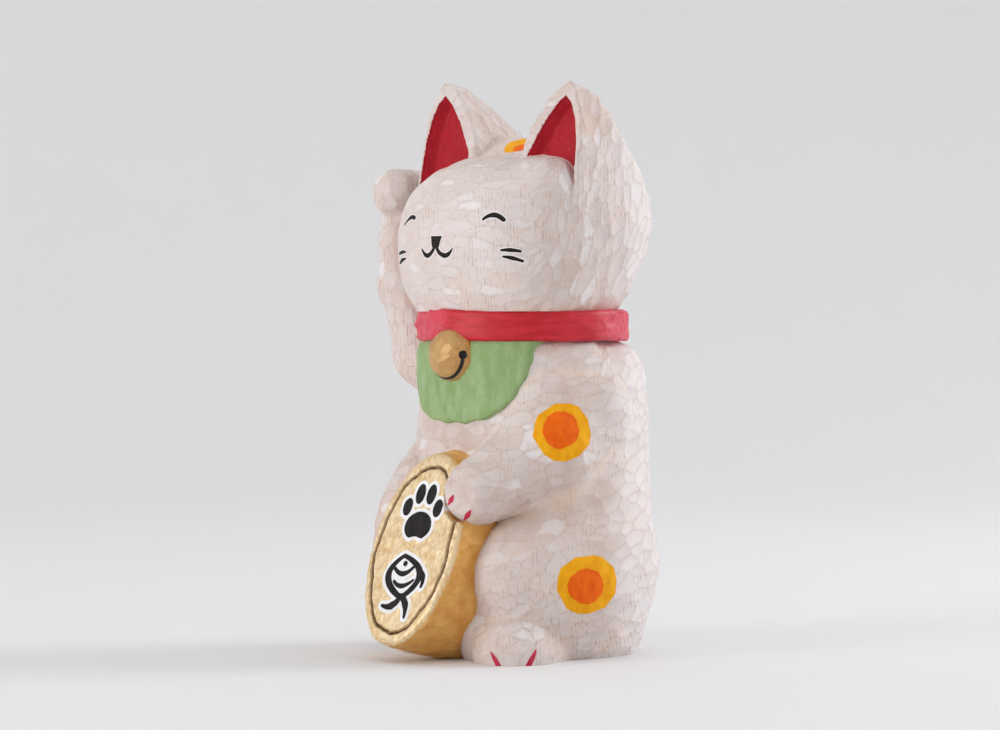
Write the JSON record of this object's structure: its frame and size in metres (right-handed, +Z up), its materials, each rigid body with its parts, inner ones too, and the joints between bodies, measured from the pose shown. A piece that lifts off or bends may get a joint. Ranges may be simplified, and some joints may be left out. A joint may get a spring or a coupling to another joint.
{
  "type": "beckoning cat figurine",
  "caption": "Carved and painted wooden cat figurine, seated upright with its right paw raised, holding an oval coin, with a collar, bib and bell.",
  "frame": {"origin": "middle of the flat underside, on the figure's upright axis", "axes": "+Z up through the head, -Y the way the cat faces, +X its left side"},
  "size_m": [0.0674, 0.0699, 0.12],
  "materials": {
    "white_paint": "thin off-white paint rubbed over carved wood, matt",
    "crimson_paint": "crimson paint on carved wood, matt",
    "green_paint": "sage green paint on carved wood, matt",
    "gold_paint": "dull gold paint on carved wood, soft sheen",
    "bare_wood": "unpainted light hardwood"
  },
  "bodies": {
    "root": {"body": "white_paint", "head": "white_paint", "raised_arm": "white_paint", "collar": "crimson_paint", "bib": "green_paint", "bell": "gold_paint", "coin": "gold_paint", "neck_dowel": "bare_wood", "arm_dowel": "bare_wood", "coin_dowels": "bare_wood", "bell_peg": "bare_wood"}
  },
  "joints": []
}
